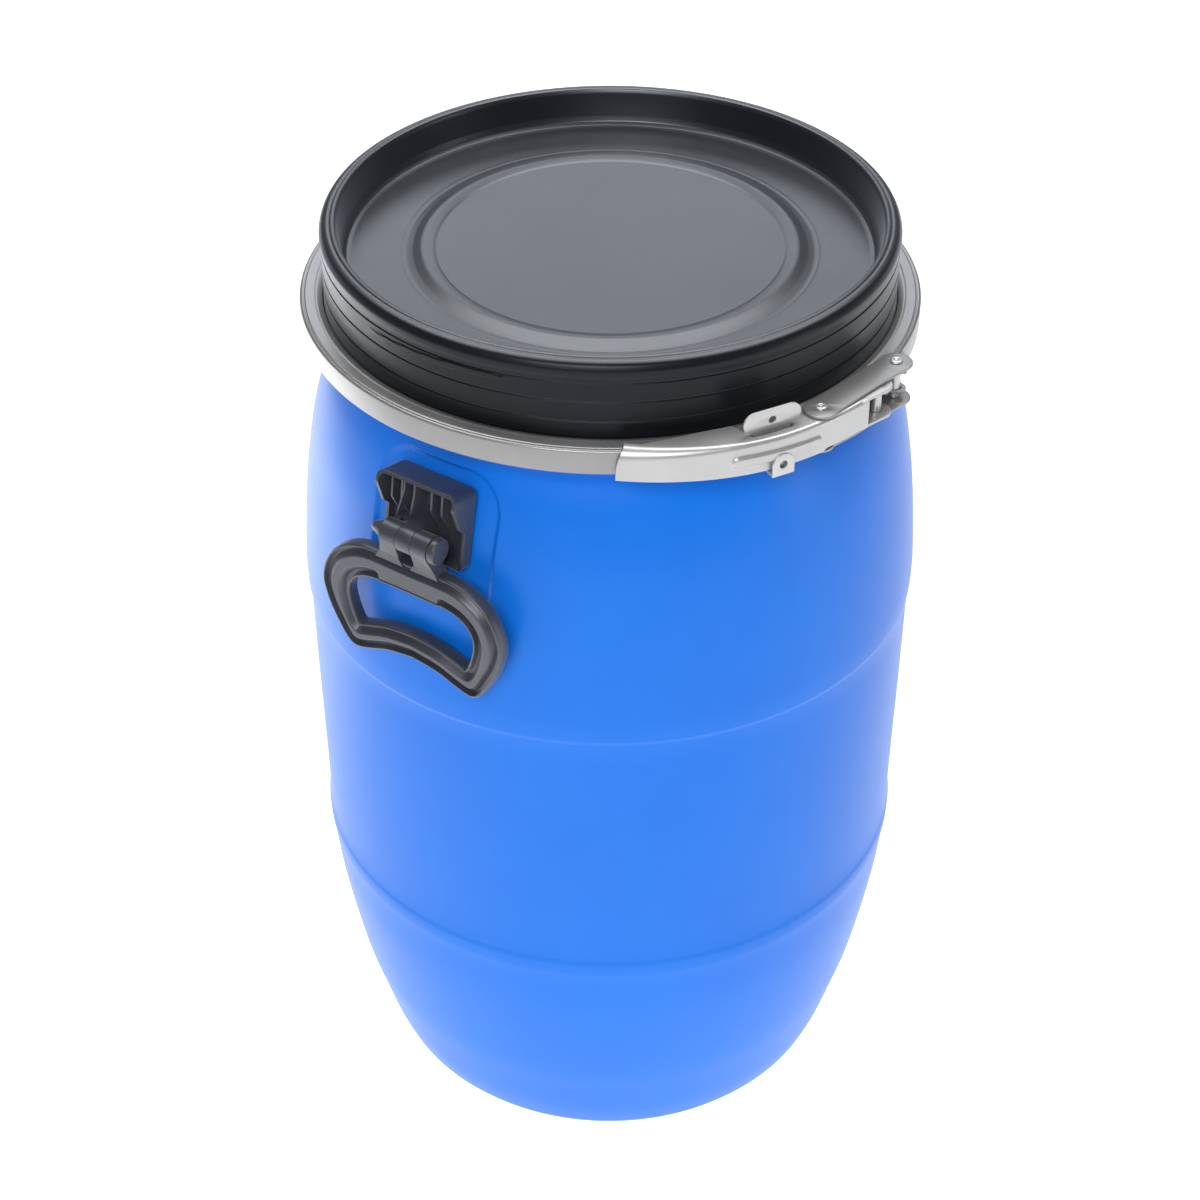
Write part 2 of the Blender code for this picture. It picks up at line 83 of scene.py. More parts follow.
BODY_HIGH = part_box("body_shell")[1]
LID_LOW, LID_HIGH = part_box("lid")
BAND_LOW, BAND_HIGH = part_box("band_left")
LEVER_LOW, LEVER_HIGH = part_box("lever")
LINK_LOW, LINK_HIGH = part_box("link_top")
RIVET = joint_place("link_turn")
FULCRUM = joint_place("lever_swing")
LINK_PIN = middle_of("link_pin")
BAND_HINGE = joint_place("band_left_flex")
TAB = middle_of("seal_tab")
LUG = middle_of("seal_lug")
GRIP_PINS = {side: joint_place(f"grip_{side}_swing") for side in ("left", "right")}

WALL = 0.0032
NECK_R, MOUTH_R, MOUTH_BEAD_R = 0.1653, 0.1621, 0.1830
MOUTH_Z = BODY_HIGH.z
FLAT_R, FLAT_Z, FLAT_TILT = 0.1774, 0.5126, 11.0  # moulded flat behind each handle
FLAT_HALF, FLAT_TOP = 0.0440, 0.5435
BAND_R = -BAND_LOW.x
SPLIT_AZ = polar_place(BAND_HINGE)[1] + 180.0
STEEL = 0.0012
HEAVY_STEEL = 0.0018
LEVER_START, LEVER_END = 2.5, 48.5


# ---- shapes ---------------------------------------------------------------------------
def polar(radius, azimuth, height=0.0):
    angle = math.radians(azimuth)
    return Vector((radius * math.sin(angle), -radius * math.cos(angle), height))


def turn_to(azimuth):
    return Matrix.Rotation(math.radians(azimuth), 4, "Z")


def smoothstep(value, start, end):
    share = np.clip((value - start) / (end - start), 0.0, 1.0)
    return share * share * (3.0 - 2.0 * share)


def soft_positive(value, width):
    """The value where it is well above 0, and 0 below, with a round bend between."""
    return 0.5 * (value + np.sqrt(value * value + width * width))


def arc(centre, radius, start, end, steps):
    """Points of an arc about a 2D centre, angles in degrees, both ends included."""
    turns = [math.radians(start + (end - start) * i / steps) for i in range(steps + 1)]
    return [(centre[0] + radius * math.cos(t), centre[1] + radius * math.sin(t)) for t in turns]


def circle(centre, radius, steps=32):
    return arc(centre, radius, 0.0, 360.0 - 360.0 / steps, steps - 1)


def smooth(points, per_span=6):
    """A Catmull-Rom curve through points of any dimension."""
    ends = [points[0], *points, points[-1]]
    curve = [tuple(points[0])]
    for a, b, c, d in zip(ends, ends[1:], ends[2:], ends[3:]):
        for step in range(1, per_span + 1):
            t = step / per_span
            curve.append(tuple(
                0.5 * (2 * q + (r - p) * t + (2 * p - 5 * q + 4 * r - s) * t * t
                       + (3 * q - p - 3 * r + s) * t ** 3)
                for p, q, r, s in zip(a, b, c, d)
            ))
    return curve


def rounded(corners, closed=False, step=18.0):
    """An outline whose corners (x, y, radius) become arcs. A corner may leave the radius out."""
    outline = []
    count = len(corners)
    for index, corner in enumerate(corners):
        here = Vector(corner[:2])
        radius = corner[2] if len(corner) > 2 else 0.0
        if radius <= 0.0 or (not closed and index in (0, count - 1)):
            outline.append(tuple(here))
            continue
        back = Vector(corners[index - 1][:2]) - here
        ahead = Vector(corners[(index + 1) % count][:2]) - here
        angle = back.angle(ahead)
        reach = radius / math.tan(angle / 2)
        limit = 0.49 * min(back.length, ahead.length)
        if reach > limit:
            reach, radius = limit, limit * math.tan(angle / 2)
        back.normalize()
        ahead.normalize()
        bisector = (back + ahead).normalized()
        centre = here + bisector * (radius / math.sin(angle / 2))
        first = here + back * reach - centre
        last = here + ahead * reach - centre
        turn = first.angle_signed(last)
        steps = max(1, math.ceil(abs(math.degrees(turn)) / step))
        for i in range(steps + 1):
            spot = first.copy()
            spot.rotate(Matrix.Rotation(-turn * i / steps, 2))
            outline.append(tuple(centre + spot))
    return outline


def finish_mesh(name, mesh, material, sharp=35.0):
    """Closes poles, turns the faces outwards and shades them."""
    shape = bmesh.new()
    shape.from_mesh(mesh)
    bmesh.ops.remove_doubles(shape, verts=shape.verts, dist=0.000002)
    bmesh.ops.dissolve_degenerate(shape, edges=shape.edges, dist=0.000001)
    bmesh.ops.recalc_face_normals(shape, faces=shape.faces)
    shape.to_mesh(mesh)
    shape.free()
    mesh.shade_smooth()
    mesh.set_sharp_from_angle(angle=math.radians(sharp))
    obj = bpy.data.objects.new(name, mesh)
    bpy.context.scene.collection.objects.link(obj)
    if material:
        mesh.materials.append(material)
    return obj


def grid(name, points, material, ring=False, loop=True, sharp=35.0):
    """A surface through rows of points. ring joins the last row to the first, loop each row's ends.
    Without ring, each end row is closed by a cap."""
    rows, columns = points.shape[:2]
    row = np.arange(rows if ring else rows - 1)[:, None]
    column = np.arange(columns if loop else columns - 1)[None, :]
    next_row, next_column = (row + 1) % rows, (column + 1) % columns
    faces = np.stack([row * columns + column, next_row * columns + column,
                      next_row * columns + next_column, row * columns + next_column], -1)
    faces = faces.reshape(-1, 4).tolist()
    if not ring:
        faces.append(list(range(columns))[::-1])
        faces.append([(rows - 1) * columns + i for i in range(columns)])
    mesh = bpy.data.meshes.new(name)
    mesh.from_pydata(points.reshape(-1, 3).tolist(), [], faces)
    return finish_mesh(name, mesh, material, sharp)


def around(radius, azimuth, height):
    """Points at these radii, azimuths in degrees and heights, as one array."""
    angle = np.radians(azimuth)
    return np.stack([radius * np.sin(angle), -radius * np.cos(angle), height], -1)


def turned(name, outline, material, steps=240, reshape=None, sharp=35.0):
    """A turned shape, whose outline runs from the axis to the axis. reshape alters its radius."""
    flat = np.array(outline)
    azimuth = np.linspace(-180.0, 180.0, steps, endpoint=False)[:, None]
    radius = np.repeat(flat[None, :, 0], steps, 0)
    height = np.repeat(flat[None, :, 1], steps, 0)
    if reshape:
        radius = reshape(radius, azimuth, height)
    points = around(radius, np.repeat(azimuth, len(outline), 1), height)
    return grid(name, points, material, ring=True, loop=False, sharp=sharp)


def turned_at(name, outline, material, spot, steps=48):
    """A turned shape about an upright axis through a spot."""
    obj = turned(name, outline, material, steps)
    obj.data.transform(Matrix.Translation(spot))
    return obj


def swept(name, section, material, start, end, step=0.75, sharp=35.0):
    """A closed section carried round the drum. section gives its points at each azimuth."""
    count = max(2, math.ceil(abs(end - start) / step))
    rows = []
    for azimuth in np.linspace(start, end, count + 1):
        flat = np.array(section(azimuth))
        rows.append(around(flat[:, 0], azimuth, flat[:, 1]))
    return grid(name, np.array(rows), material, sharp=sharp)


def swept_ring(name, section, material, steps=240):
    """A closed section carried all the way round the drum."""
    flat = np.array(section)
    azimuth = np.linspace(-180.0, 180.0, steps, endpoint=False)[:, None]
    points = around(np.repeat(flat[None, :, 0], steps, 0), np.repeat(azimuth, len(section), 1),
                    np.repeat(flat[None, :, 1], steps, 0))
    return grid(name, points, material, ring=True, loop=True)


def plate(name, outlines, low, high, material, edge=0.0003, matrix=None, sharp=35.0):
    """A flat plate with softly rounded edges, from low to high along its own Z."""
    curve = bpy.data.curves.new(name, "CURVE")
    curve.dimensions = "2D"
    curve.fill_mode = "BOTH"
    curve.extrude = (high - low) / 2 - edge
    curve.bevel_depth = edge
    curve.bevel_resolution = 2
    curve.offset = -edge
    for outline in outlines:
        spline = curve.splines.new("POLY")
        spline.points.add(len(outline) - 1)
        for point, spot in zip(spline.points, outline):
            point.co = (spot[0], spot[1], 0.0, 1.0)
        spline.use_cyclic_u = True
    drawn = bpy.data.objects.new(name, curve)
    bpy.context.scene.collection.objects.link(drawn)
    graph = bpy.context.evaluated_depsgraph_get()
    mesh = bpy.data.meshes.new_from_object(drawn.evaluated_get(graph))
    bpy.data.objects.remove(drawn, do_unlink=True)
    bpy.data.curves.remove(curve)
    mesh.materials.clear()
    mesh.transform(Matrix.Translation((0.0, 0.0, (low + high) / 2)))
    if matrix:
        mesh.transform(matrix)
    return finish_mesh(name, mesh, material, sharp)


def combine(obj, kind, other):
    """Joins, cuts or keeps what two solids share, and removes the second one."""
    step = obj.modifiers.new(kind, "BOOLEAN")
    step.operation = kind
    step.solver = "EXACT"
    step.object = other
    graph = bpy.context.evaluated_depsgraph_get()
    mesh = bpy.data.meshes.new_from_object(obj.evaluated_get(graph))
    obj.modifiers.clear()
    old = obj.data
    obj.data = mesh
    bpy.data.meshes.remove(old)
    bpy.data.objects.remove(other, do_unlink=True)
    return obj


def soften(obj, width, angle=40.0, segments=2):
    """Rounds the sharp edges of a finished solid."""
    bevel = obj.modifiers.new("Soft edges", "BEVEL")
    bevel.width = width
    bevel.segments = segments
    bevel.limit_method = "ANGLE"
    bevel.angle_limit = math.radians(angle)
    bevel.use_clamp_overlap = True
    bevel.harden_normals = False
    obj.data.shade_smooth()
    obj.data.set_sharp_from_angle(angle=math.radians(50.0))
    return obj


# ---- materials ------------------------------------------------------------------------
class Nodes:
    """A short way to build a material's node tree."""

    def __init__(self, name):
        self.material = bpy.data.materials.new(name)
        self.material.use_nodes = True
        self.tree = self.material.node_tree
        self.shader = self.tree.nodes["Principled BSDF"]
        self.place = self.add("ShaderNodeTexCoord").outputs["Object"]

    def add(self, kind, **settings):
        node = self.tree.nodes.new(kind)
        for key, value in settings.items():
            setattr(node, key, value)
        return node

    def link(self, source, target):
        self.tree.links.new(source, target)

    def stretched(self, scale, shift=(0.0, 0.0, 0.0)):
        mapping = self.add("ShaderNodeMapping")
        mapping.inputs["Location"].default_value = shift
        mapping.inputs["Scale"].default_value = scale
        self.link(self.place, mapping.inputs["Vector"])
        return mapping.outputs["Vector"]

    def noise(self, scale, detail=3.0, roughness=0.5, place=None):
        node = self.add("ShaderNodeTexNoise")
        node.inputs["Scale"].default_value = scale
        node.inputs["Detail"].default_value = detail
        node.inputs["Roughness"].default_value = roughness
        self.link(place or self.place, node.inputs["Vector"])
        return node.outputs["Fac"]

    def spread(self, value, low, high, start=0.3, end=0.7):
        """Maps a noise to the range from low to high."""
        node = self.add("ShaderNodeMapRange")
        node.inputs["From Min"].default_value = start
        node.inputs["From Max"].default_value = end
        node.inputs["To Min"].default_value = low
        node.inputs["To Max"].default_value = high
        self.link(value, node.inputs["Value"])
        return node.outputs["Result"]

    def ramp(self, value, stops):
        node = self.add("ShaderNodeValToRGB")
        band = node.color_ramp
        while len(band.elements) < len(stops):
            band.elements.new(0.5)
        for element, (position, colour) in zip(band.elements, stops):
            element.position = position
            element.color = (*colour, 1.0)
        self.link(value, node.inputs["Fac"])
        return node.outputs["Color"]

    def math(self, kind, first, second):
        node = self.add("ShaderNodeMath", operation=kind)
        for socket, value in zip(node.inputs, (first, second)):
            if isinstance(value, float):
                socket.default_value = value
            else:
                self.link(value, socket)
        return node.outputs["Value"]

    def bump(self, height, strength, distance, after=None):
        node = self.add("ShaderNodeBump")
        node.inputs["Strength"].default_value = strength
        node.inputs["Distance"].default_value = distance
        self.link(height, node.inputs["Height"])
        if after:
            self.link(after, node.inputs["Normal"])
        return node.outputs["Normal"]

    def set(self, **values):
        for key, value in values.items():
            self.shader.inputs[key.replace("_", " ")].default_value = value

    def feed(self, **sources):
        for key, source in sources.items():
            self.link(source, self.shader.inputs[key.replace("_", " ")])


def moulded_plastic(name, dark, light, roughness, grain, relief=0.14, specular=0.5):
    """Moulded plastic: faint cloudy colour, uneven gloss, and a fine moulded grain."""
    nodes = Nodes(name)
    clouds = nodes.noise(9.0, 4.0, 0.55)
    specks = nodes.noise(420.0, 2.0, 0.6)
    nodes.feed(Base_Color=nodes.ramp(clouds, [(0.35, dark), (0.65, light)]))
    uneven = nodes.math("ADD", nodes.spread(clouds, -0.03, 0.03), nodes.spread(specks, -0.02, 0.02))
    nodes.feed(Roughness=nodes.math("ADD", uneven, roughness))
    waves = nodes.bump(nodes.noise(22.0, 1.0, 0.4), 0.3 * relief, 0.002)
    nodes.feed(Normal=nodes.bump(nodes.noise(grain, 2.0, 0.5), relief, 0.00010, waves))
    nodes.set(IOR=1.5, Specular_IOR_Level=specular)
    return nodes


def lid_plastic():
    """The lid's plastic: a polished top inside the rim, and a satin wall outside it."""
    nodes = moulded_plastic("black_lid_plastic", (0.0036, 0.0040, 0.0056), (0.0052, 0.0058, 0.0078),
                            0.34, 1100.0, 0.02)
    flat = nodes.add("ShaderNodeVectorMath", operation="MULTIPLY")
    flat.inputs[1].default_value = (1.0, 1.0, 0.0)
    nodes.link(nodes.place, flat.inputs[0])
    radius = nodes.add("ShaderNodeVectorMath", operation="LENGTH")
    nodes.link(flat.outputs["Vector"], radius.inputs[0])
    polish = nodes.spread(radius.outputs["Value"], 0.95, 0.24, 0.1690, 0.1715)
    nodes.feed(Specular_IOR_Level=polish)
    nodes.set(Specular_Tint=(0.90, 0.94, 1.0, 1.0), Sheen_Weight=0.18, Sheen_Roughness=0.4,
              Sheen_Tint=(0.85, 0.91, 1.0, 1.0))
    return nodes.material


def charcoal_plastic():
    """The handles' plastic, with a soft sheen."""
    nodes = moulded_plastic("charcoal_handle_plastic", (0.030, 0.034, 0.046),
                            (0.040, 0.045, 0.060), 0.40, 1500.0, 0.10, 0.8)
    nodes.set(Sheen_Weight=0.25, Sheen_Roughness=0.4, Sheen_Tint=(0.82, 0.90, 1.0, 1.0))
    return nodes.material


def rubber(name):
    nodes = Nodes(name)
    clouds = nodes.noise(60.0, 3.0, 0.6)
    nodes.feed(Base_Color=nodes.ramp(clouds, [(0.3, (0.012, 0.012, 0.013)),
                                              (0.7, (0.03, 0.03, 0.032))]))
    nodes.feed(Roughness=nodes.spread(clouds, 0.68, 0.86))
    nodes.feed(Normal=nodes.bump(nodes.noise(900.0, 2.0, 0.6), 0.4, 0.0001))
    nodes.set(Specular_IOR_Level=0.35)
    return nodes.material


def sheet_steel(name, tone, roughness, grain):
    """Galvanised or plated sheet: rolling lines, soft blooms in the zinc and fine scratches."""
    nodes = Nodes(name)
    blooms = nodes.noise(38.0, 4.0, 0.6)
    lines = nodes.noise(60.0, 3.0, 0.6, nodes.stretched((1.0, 1.0, 22.0)))
    low = tuple(channel * 0.94 for channel in tone)
    high = tuple(min(1.0, channel * 1.05) for channel in tone)
    nodes.feed(Base_Color=nodes.ramp(blooms, [(0.3, low), (0.7, high)]))
    uneven = nodes.math("ADD", nodes.spread(blooms, -0.03, 0.03), nodes.spread(lines, -0.01, 0.02))
    nodes.feed(Roughness=nodes.math("ADD", uneven, roughness))
    rolled = nodes.bump(lines, grain, 0.00006)
    nodes.feed(Normal=nodes.bump(nodes.noise(520.0, 2.0, 0.5), grain, 0.00005, rolled))
    nodes.set(Metallic=0.6)
    return nodes.material


BLUE = moulded_plastic("blue_polyethylene", (0.004, 0.168, 0.74), (0.006, 0.182, 0.78), 0.35,
                       900.0, 0.10, 0.26).material
LID_BLACK = lid_plastic()
CHARCOAL = charcoal_plastic()
SEAL_RUBBER = rubber("seal_rubber")
ZINC = sheet_steel("galvanised_sheet", (0.30, 0.30, 0.302), 0.32, 0.012)
LEVER_ZINC = sheet_steel("galvanised_lever", (0.49, 0.49, 0.49), 0.34, 0.012)
PLATED = sheet_steel("plated_steel", (0.54, 0.54, 0.54), 0.30, 0.012)


def mine(obj, body, slot, *nodes):
    """Rides a finished piece on its body, in place of the CAD nodes it stands for."""
    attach(obj, body)
    if nodes:
        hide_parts(*nodes)
    return obj


# ---- drum body ------------------------------------------------------------------------
def flat_depth(height):
    """Distance from the drum's axis to a moulded flat, at a height."""
    return FLAT_R - (height - FLAT_Z) * math.tan(math.radians(FLAT_TILT))


def press_flats(radius, azimuth, height, thickness):
    """The radius once the two moulded flats are pressed into the shoulder, thickness further in."""
    step, corner = 0.0022, 0.0250
    runs_out, whole = 0.464, 0.482  # heights between which a flat fades into the barrel
    result = radius
    for pin in GRIP_PINS.values():
        _, middle = polar_place(pin)
        turn = (azimuth - middle + 180.0) % 360.0 - 180.0
        near = np.clip(np.cos(np.radians(turn)), 0.2, 1.0)
        aside = np.abs(radius * np.sin(np.radians(turn))) + (np.abs(turn) > 90.0)
        outside = np.hypot(np.maximum(aside - FLAT_HALF + corner, 0.0),
                           np.maximum(height - FLAT_TOP + corner, 0.0)) - corner
        inside = 1.0 - smoothstep(outside, -0.0026, 0.0006)
        fade = smoothstep(height, runs_out, whole)
        sunk = soft_positive(radius * near - (flat_depth(height) - thickness) - step, 0.0016)
        result = result - fade * inside * (sunk + step) / near
    return result


def barrel():
    """Outer side of the barrel from the neck to the base, with its two moulded creases."""
    shoulder = smooth([(0.1653, 0.5560), (0.1656, 0.5530), (0.1673, 0.5470), (0.1756, 0.5280),
                       (0.1840, 0.5000), (0.1891, 0.4720), (0.1926, 0.4440), (0.1950, 0.4150),
                       (0.1962, 0.3930)], 14)
    crease = rounded([(0.1962, 0.3930), (0.1960, 0.3800, 0.0012), (0.1949, 0.3768, 0.0012),
                      (0.1944, 0.3640)])
    waist = smooth([(0.1944, 0.3640), (0.1942, 0.3400), (0.1937, 0.3000), (0.1930, 0.2600),
                    (0.1924, 0.2200), (0.1924, 0.2050)], 8)
    fold = rounded([(0.1924, 0.2050), (0.1926, 0.1955, 0.0030), (0.1934, 0.1925, 0.0020),
                    (0.1931, 0.1840)])
    bowl = smooth([(0.1931, 0.1840), (0.1918, 0.1750), (0.1890, 0.1480), (0.1839, 0.1150),
                   (0.1766, 0.0770), (0.1691, 0.0490), (0.1620, 0.0240), (0.1560, 0.0080)], 8)
    return shoulder + crease[1:] + waist[1:] + fold[1:] + bowl[1:]


def make_body():
    """The hollow body, with finer steps round the drum where the flats are."""
    side = barrel()
    mouth = rounded([(MOUTH_R, MOUTH_Z - 0.0200), (MOUTH_R, MOUTH_Z, 0.0008),
                     (MOUTH_BEAD_R, MOUTH_Z, 0.0016), (MOUTH_BEAD_R, MOUTH_Z - 0.0047, 0.0016),
                     (NECK_R, MOUTH_Z - 0.0062, 0.0030), (NECK_R, 0.5570)])
    base = rounded([(0.1560, 0.0080), (0.1500, 0.0000, 0.0060), (0.1300, 0.0000, 0.0030),
                    (0.1270, 0.0020, 0.0020), (0.0630, 0.0020, 0.0020), (0.0600, 0.0000, 0.0010),
                    (0.0, 0.0)])
    inside = [(radius - WALL, height) for radius, height in side[::-3] if 0.03 < height < 0.55]
    floor = rounded([(0.0, 0.0055), (0.1450, 0.0055, 0.0100), inside[0]])
    outline = mouth[1:] + side[1:] + base[1:] + floor + inside[1:] + [(MOUTH_R, 0.5530)]
    outside = len(mouth) + len(side) + len(base) - 3

    flat = np.array(outline)
    coarse = np.arange(-180.0, 180.0, 1.0)
    fine = [polar_place(pin)[1] + np.arange(-16.0, 16.0, 0.25) for pin in GRIP_PINS.values()]
    azimuth = np.unique(np.round((np.concatenate([coarse, *fine]) + 180.0) % 360.0 - 180.0, 3))
    azimuth = azimuth[np.diff(azimuth, append=181.0) > 0.12][:, None]
    radius = np.repeat(flat[None, :, 0], len(azimuth), 0)
    height = np.repeat(flat[None, :, 1], len(azimuth), 0)
    outer = press_flats(radius[:, :outside], azimuth, height[:, :outside], 0.0)
    inner = press_flats(radius[:, outside:], azimuth, height[:, outside:], WALL)
    points = around(np.concatenate([outer, inner], 1), np.repeat(azimuth, len(outline), 1), height)
    body = grid("drum_body", points, BLUE, ring=True, loop=True)
    mine(body, "drum", "body_plastic", "body_shell")


# ---- lid ------------------------------------------------------------------------------
STRIP_AZ = (-52.3, -20.3)  # the raised strip on the lid's wall
WALL_R = 0.1733
GROOVES = (0.6166, 0.6044, 0.5917)


def groove(height, depth=0.0006, width=0.0008):
    """A fine V groove in the lid's wall, as changes of radius down the wall."""
    return [(0.0, height + width), (-depth, height + 0.2 * width), (-depth, height - 0.2 * width),
            (0.0, height - width)]


def make_lid():
    top, flange_z = LID_HIGH.z, LID_LOW.z
    flange_r = LID_HIGH.x
    panel = [(0.0, 0.6076), (0.0500, 0.6076), (0.1000, 0.6076)]
    bead = rounded([(0.1000, 0.6076), (0.1048, 0.6076, 0.0010), (0.1066, 0.6083, 0.0040),
                    (0.1122, 0.6094, 0.0090), (0.1186, 0.6070, 0.0100), (0.1228, 0.6060, 0.0060),
                    (0.1240, 0.6060, 0.0010), (0.1252, 0.6062, 0.0010), (0.1264, 0.6060, 0.0010),
                    (0.1300, 0.6060)], step=6.0)
    recess = rounded([(0.1300, 0.6060), (0.1560, 0.6060, 0.0040), (0.1584, 0.6066, 0.0014),
                      (0.1604, 0.6084, 0.0020), (0.1616, 0.6120, 0.0030), (0.1632, 0.6270, 0.0030),
                      (0.1642, 0.6293, 0.0014), (0.1654, top, 0.0010), (0.1666, 0.6296, 0.0008),
                      (0.1676, 0.6289, 0.0010), (0.1690, 0.6292, 0.0020), (0.1722, 0.6280, 0.0050),
                      (0.1740, 0.6244, 0.0040), (0.1738, 0.6210, 0.0030), (WALL_R, 0.6190)],
                     step=10.0)
    wall = [(WALL_R, 0.6190)]
    for height in GROOVES:
        wall += [(WALL_R + change, level) for change, level in groove(height)]
    skirt = rounded([wall[-1], (0.1735, flange_z + 0.0032, 0.0006),
                     (flange_r, flange_z + 0.0030, 0.0008), (flange_r, flange_z, 0.0006),
                     (0.1697, flange_z, 0.0005), (0.1690, 0.6000, 0.0020),
                     (0.1640, 0.6033, 0.0020), (0.1200, 0.6033, 0.0030), (0.1150, 0.6080, 0.0030),
                     (0.1090, 0.6080, 0.0030), (0.1040, 0.6046, 0.0030), (0.0, 0.6046)])
    between = []
    for first, second in zip(wall, wall[1:]):
        between.append(first)
        count = int((first[1] - second[1]) / 0.0008)
        between += [(first[0] + (second[0] - first[0]) * i / (count + 1),
                     first[1] + (second[1] - first[1]) * i / (count + 1))
                    for i in range(1, count + 1)]
    outline = panel + bead[1:] + recess[1:] + between[1:] + [wall[-1]] + skirt[1:]

    def raise_strip(radius, azimuth, height):
        """A thin raised strip under the first groove, pointed at both ends."""
        start, end = STRIP_AZ
        low, high = GROOVES[0] - 0.0042, GROOVES[0] - 0.0008
        lean = 0.0040 * smoothstep(-azimuth, 20.0, 60.0)
        level = (height + lean - low) / (high - low)
        arrow = end + 2.2 * (1.0 - np.abs(2.0 * level - 1.0))
        along = smoothstep(azimuth, start, start + 7.0) * (azimuth < arrow)
        band = (level > 0.0) & (level < 1.0) & (radius > 0.1715)
        return radius + 0.0007 * along * band

    lid = turned("lid_shell", outline, LID_BLACK, 480, raise_strip, 30.0)
    mine(lid, "lid", "lid_plastic", "lid")

    seal_low, seal_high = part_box("lid_gasket")
    outer, inner = seal_high.x, 0.1700
    seal = rounded([(inner, seal_low.z, 0.0006), (outer, seal_low.z, 0.0008),
                    (outer, seal_high.z, 0.0008), (inner, seal_high.z, 0.0006)], True)
    gasket = swept_ring("lid_seal", seal, SEAL_RUBBER)
    mine(gasket, "lid", "seal_rubber", "lid_gasket")


# ---- clamp band -----------------------------------------------------------------------
def band_section(azimuth):
    low, high = BAND_LOW.z, BAND_HIGH.z
    outer = [(0.1742, high - 0.0012, 0.0003), (0.1778, high, 0.0016),
             (0.1792, high - 0.0004, 0.0010), (0.1845, high - 0.0003, 0.0008),
             (0.1853, high - 0.0008, 0.0006),
             (0.1864, high - 0.0003, 0.0010), (BAND_R, high - 0.0012, 0.0014),
             (BAND_R, low, 0.0016), (0.1765, low, 0.0002), (0.1765, low + STEEL, 0.0002)]
    inner = [(BAND_R - STEEL, low + STEEL, 0.0006), (BAND_R - STEEL, high - 0.0022, 0.0006),
             (0.1864, high - 0.0016, 0.0006), (0.1853, high - 0.0020, 0.0006),
             (0.1845, high - 0.0015, 0.0006), (0.1790, high - 0.0015, 0.0006),
             (0.1778, high - 0.0013, 0.0006), (0.1742, high - 0.0024, 0.0002)]
    return rounded(outer + inner, True)


def make_band():
    back, reach = SPLIT_AZ + 180.0, 20.0
    left = swept("band_front_arm", band_section, ZINC, SPLIT_AZ - 0.12, back + reach - 360.0)
    mine(left, "band_left", "band_steel", "band_left")
    right = swept("band_side_arm", band_section, ZINC, SPLIT_AZ + 0.35, back - reach)
    mine(right, "band_right", "band_steel", "band_right")
    rear = swept("band_back", band_section, ZINC, back - reach, back + reach)
    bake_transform(rear)


# ---- lever closure --------------------------------------------------------------------
def face_radius(azimuth):
    """Outer radius of the lever's face, which leaves the band towards the fulcrum."""
    share = min(1.0, max(0.0, azimuth - LEVER_START) / 32.0)
    return 0.1908 + 0.0102 * math.sin(math.pi / 2 * share)


def flange_radius(azimuth):
    """Inner edge of the lever's top flange, which narrows to the free end."""
    share = min(1.0, max(0.0, azimuth - LEVER_START) / 17.0)
    return 0.1792 + 0.0097 * (1 - share) ** 1.5


def rib_height(azimuth, height):
    """Height of the pressed rib in the lever's face, a long bump with round ends."""
    start, end, level, half = 22.4, 36.6, 0.5737, 0.0041
    scale = math.radians(1.0) * 0.2
    along = np.clip(azimuth, start, end)
    distance = math.hypot((azimuth - along) * scale, height - level)
    return 0.0017 * (1.0 - smoothstep(distance, half * 0.55, half))


def lever_section(azimuth):
    low, high = LEVER_LOW.z, LEVER_HIGH.z
    low += 0.0016 * smoothstep(azimuth, 38.2, 39.2)
    face, inner = face_radius(azimuth), flange_radius(azimuth)
    bend = 0.0068 - 0.0040 * smoothstep(azimuth, 3.0, 27.0)
    steel = HEAVY_STEEL
    inner = min(inner, face - bend - 0.0006)
    top = arc((face - bend, high - bend), bend, 90.0, 0.0, 9)
    bottom = arc((face - 0.0016, low + 0.0016), 0.0016, 0.0, -90.0, 5)
    levels = np.linspace(high - bend, low + 0.0016, 26)[1:-1]
    skin = [(face + rib_height(azimuth, level), level) for level in levels]
    lining = max(bend - steel, 0.0006)
    inside_top = arc((face - steel - lining, high - steel - lining), lining, 0.0, 90.0, 6)
    inside_bottom = arc((face - steel - 0.0006, low + steel + 0.0006), 0.0006, -90.0, 0.0, 4)
    foot = 0.1845
    return ([(inner, high)] + top + skin + bottom + [(foot, low), (foot, low + steel)]
            + inside_bottom + inside_top + [(inner, high - steel)])


def lever_channel():
    """The lever's channel. Its free end leans back towards the top."""
    low, high = LEVER_LOW.z, LEVER_HIGH.z
    rows = []
    for azimuth in np.linspace(LEVER_START, LEVER_END, 231):
        flat = np.array(lever_section(azimuth))
        share = (flat[:, 1] - low) / (high - low)
        lean = 1.5 * share ** 3 * max(0.0, 1.0 - (azimuth - LEVER_START) / 5.0)
        rows.append(around(flat[:, 0], azimuth + lean, flat[:, 1]))
    return grid("lever_handle", np.array(rows), LEVER_ZINC, sharp=32.0)


def lever_ear(low, high):
    pivot, azimuth = FULCRUM.to_2d(), polar_place(FULCRUM)[1]
    root = LEVER_END - 1.5
    outline = [tuple(polar(face_radius(az) - 0.0002, az)[:2]) for az in (root, LEVER_END)]
    outline += arc(pivot, 0.0089, azimuth - 90.0, azimuth + 90.0, 24)
    outline += [tuple(polar(0.1800, az)[:2]) for az in (LEVER_END, root)]
    return plate("ear", [outline, circle(pivot, 0.0035)], low, high, None, 0.0004)


